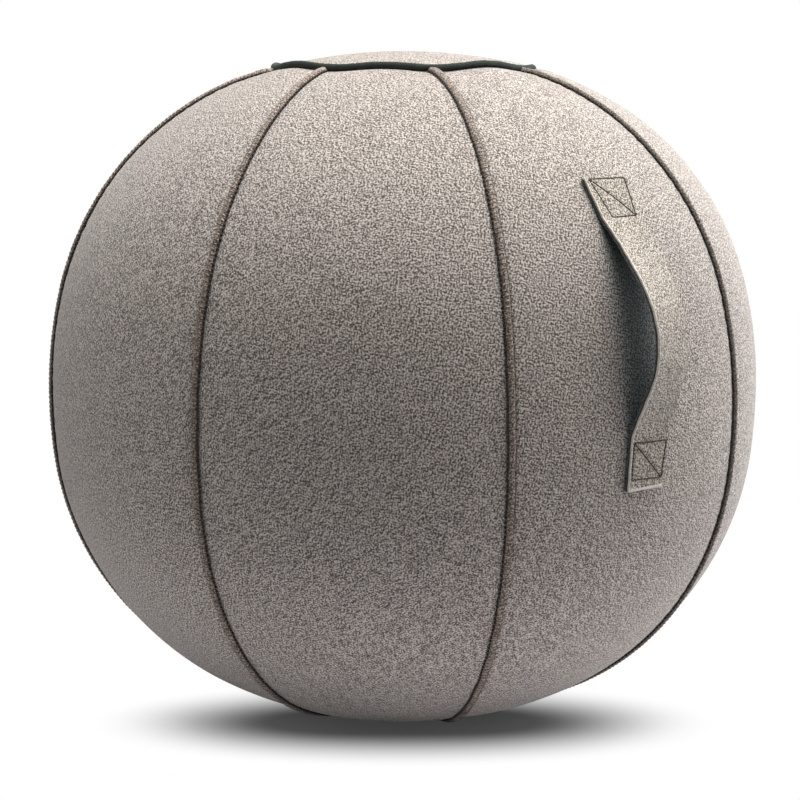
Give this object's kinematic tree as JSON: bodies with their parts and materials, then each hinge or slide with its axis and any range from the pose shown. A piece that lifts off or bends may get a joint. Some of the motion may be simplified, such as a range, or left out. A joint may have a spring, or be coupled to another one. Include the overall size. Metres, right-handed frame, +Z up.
{
  "type": "balance ball chair",
  "caption": "Felt-covered inflatable sitting ball with a round cap, overlocked gores, a flat anti-slip base, a side carrying handle and a rear zip.",
  "frame": {"origin": "on the floor, under the ball's vertical axis, at the middle of the flat base", "axes": "+Z up along the ball's axis, -Y towards the carrying handle, +X to the right when facing the handle"},
  "size_m": [0.6498, 0.6751, 0.603],
  "materials": {
    "felt": "matte",
    "piping": "matte",
    "anti_slip_base": "matte",
    "ballast": "matte",
    "bladder_vinyl": "satin",
    "valve_plastic": "satin",
    "plug_plastic": "satin",
    "strap_felt": "matte",
    "strap_lining": "matte",
    "thread": "satin",
    "zip_tape": "matte",
    "zip_plastic": "satin",
    "zip_metal": "satin",
    "seam_welt": "matte"
  },
  "bodies": {
    "ball": {"top_cap_panel": "felt", "top_piping": "piping", "base_panel": "anti_slip_base", "base_piping": "piping", "weighted_base_pad": "ballast", "bladder": "bladder_vinyl", "valve_seat": "valve_plastic", "air_plug": "plug_plastic", "handle_outer": "strap_felt", "handle_lining": "strap_lining", "upper_handle_stitch": "thread", "lower_handle_stitch": "thread", "zip_tape_left": "zip_tape", "zip_tape_right": "zip_tape", "zip_teeth_left": "zip_plastic", "zip_teeth_right": "zip_plastic", "zip_top_stop": "zip_plastic", "zip_bottom_stop": "zip_plastic", "gore_panel_1": "felt", "gore_panel_2": "felt", "gore_panel_3": "felt", "gore_panel_4": "felt", "gore_panel_5": "felt", "gore_panel_6": "felt", "gore_panel_7": "felt", "gore_panel_8": "felt", "seam_welt_1": "seam_welt", "seam_welt_2": "seam_welt", "seam_welt_3": "seam_welt", "seam_welt_4": "seam_welt", "seam_welt_5": "seam_welt", "seam_welt_6": "seam_welt", "seam_welt_7": "seam_welt", "seam_welt_8": "seam_welt"},
    "slider": {"zip_slider": "zip_metal"},
    "tab": {"pull_tab": "zip_metal"}
  },
  "joints": [
    {"name": "slider_travel", "type": "hinge", "parent": "ball", "child": "slider", "pos_m": [0.01798, 0.04341, 0.27456], "axis": [-0.9239, 0.3827, 0], "range_deg": [0, 45]},
    {"name": "tab_swing", "type": "hinge", "parent": "slider", "child": "tab", "pos_m": [0.12422, 0.29989, 0.21828], "axis": [0.9239, -0.3827, 0], "range_deg": [-3, 150]}
  ]
}
